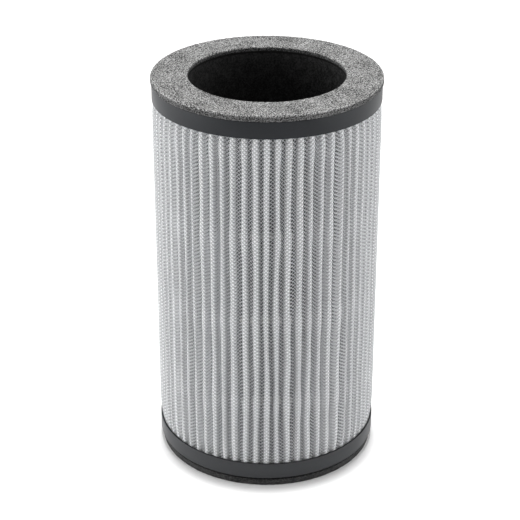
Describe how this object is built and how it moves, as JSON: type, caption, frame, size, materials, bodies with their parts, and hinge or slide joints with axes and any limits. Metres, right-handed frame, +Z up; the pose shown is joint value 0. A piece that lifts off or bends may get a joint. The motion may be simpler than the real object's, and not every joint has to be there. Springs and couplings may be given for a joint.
{
  "type": "cylindrical air purifier filter",
  "caption": "Open-ended pleated air filter tube under a fine woven net, with dark moulded ring caps, grey foam seals at both ends and a black carbon lining.",
  "frame": {"origin": "on the tube's axis, at the underside of the bottom foam gasket, where the filter stands", "axes": "+Z up along the tube's axis, from the bottom gasket to the top gasket; X and Y are alike"},
  "size_m": [0.1412, 0.1412, 0.2515],
  "materials": {
    "cap_plastic": "fine satin",
    "potting_adhesive": "smooth set adhesive",
    "filter_media": "fibrous nonwoven",
    "woven_net": "fine plain weave",
    "carbon_felt": "coarse granular felt",
    "seal_foam": "open-cell foam",
    "spacer_adhesive": "smooth set adhesive"
  },
  "bodies": {
    "root": {"bottom_cap": "cap_plastic", "top_cap": "cap_plastic", "bottom_potting": "potting_adhesive", "top_potting": "potting_adhesive", "pleat_pack": "filter_media", "mesh_sleeve": "woven_net", "carbon_sleeve": "carbon_felt", "bottom_gasket": "seal_foam", "top_gasket": "seal_foam", "spacer_bead_row_1": "spacer_adhesive", "spacer_bead_row_2": "spacer_adhesive", "spacer_bead_row_3": "spacer_adhesive", "spacer_bead_row_4": "spacer_adhesive"}
  },
  "joints": []
}
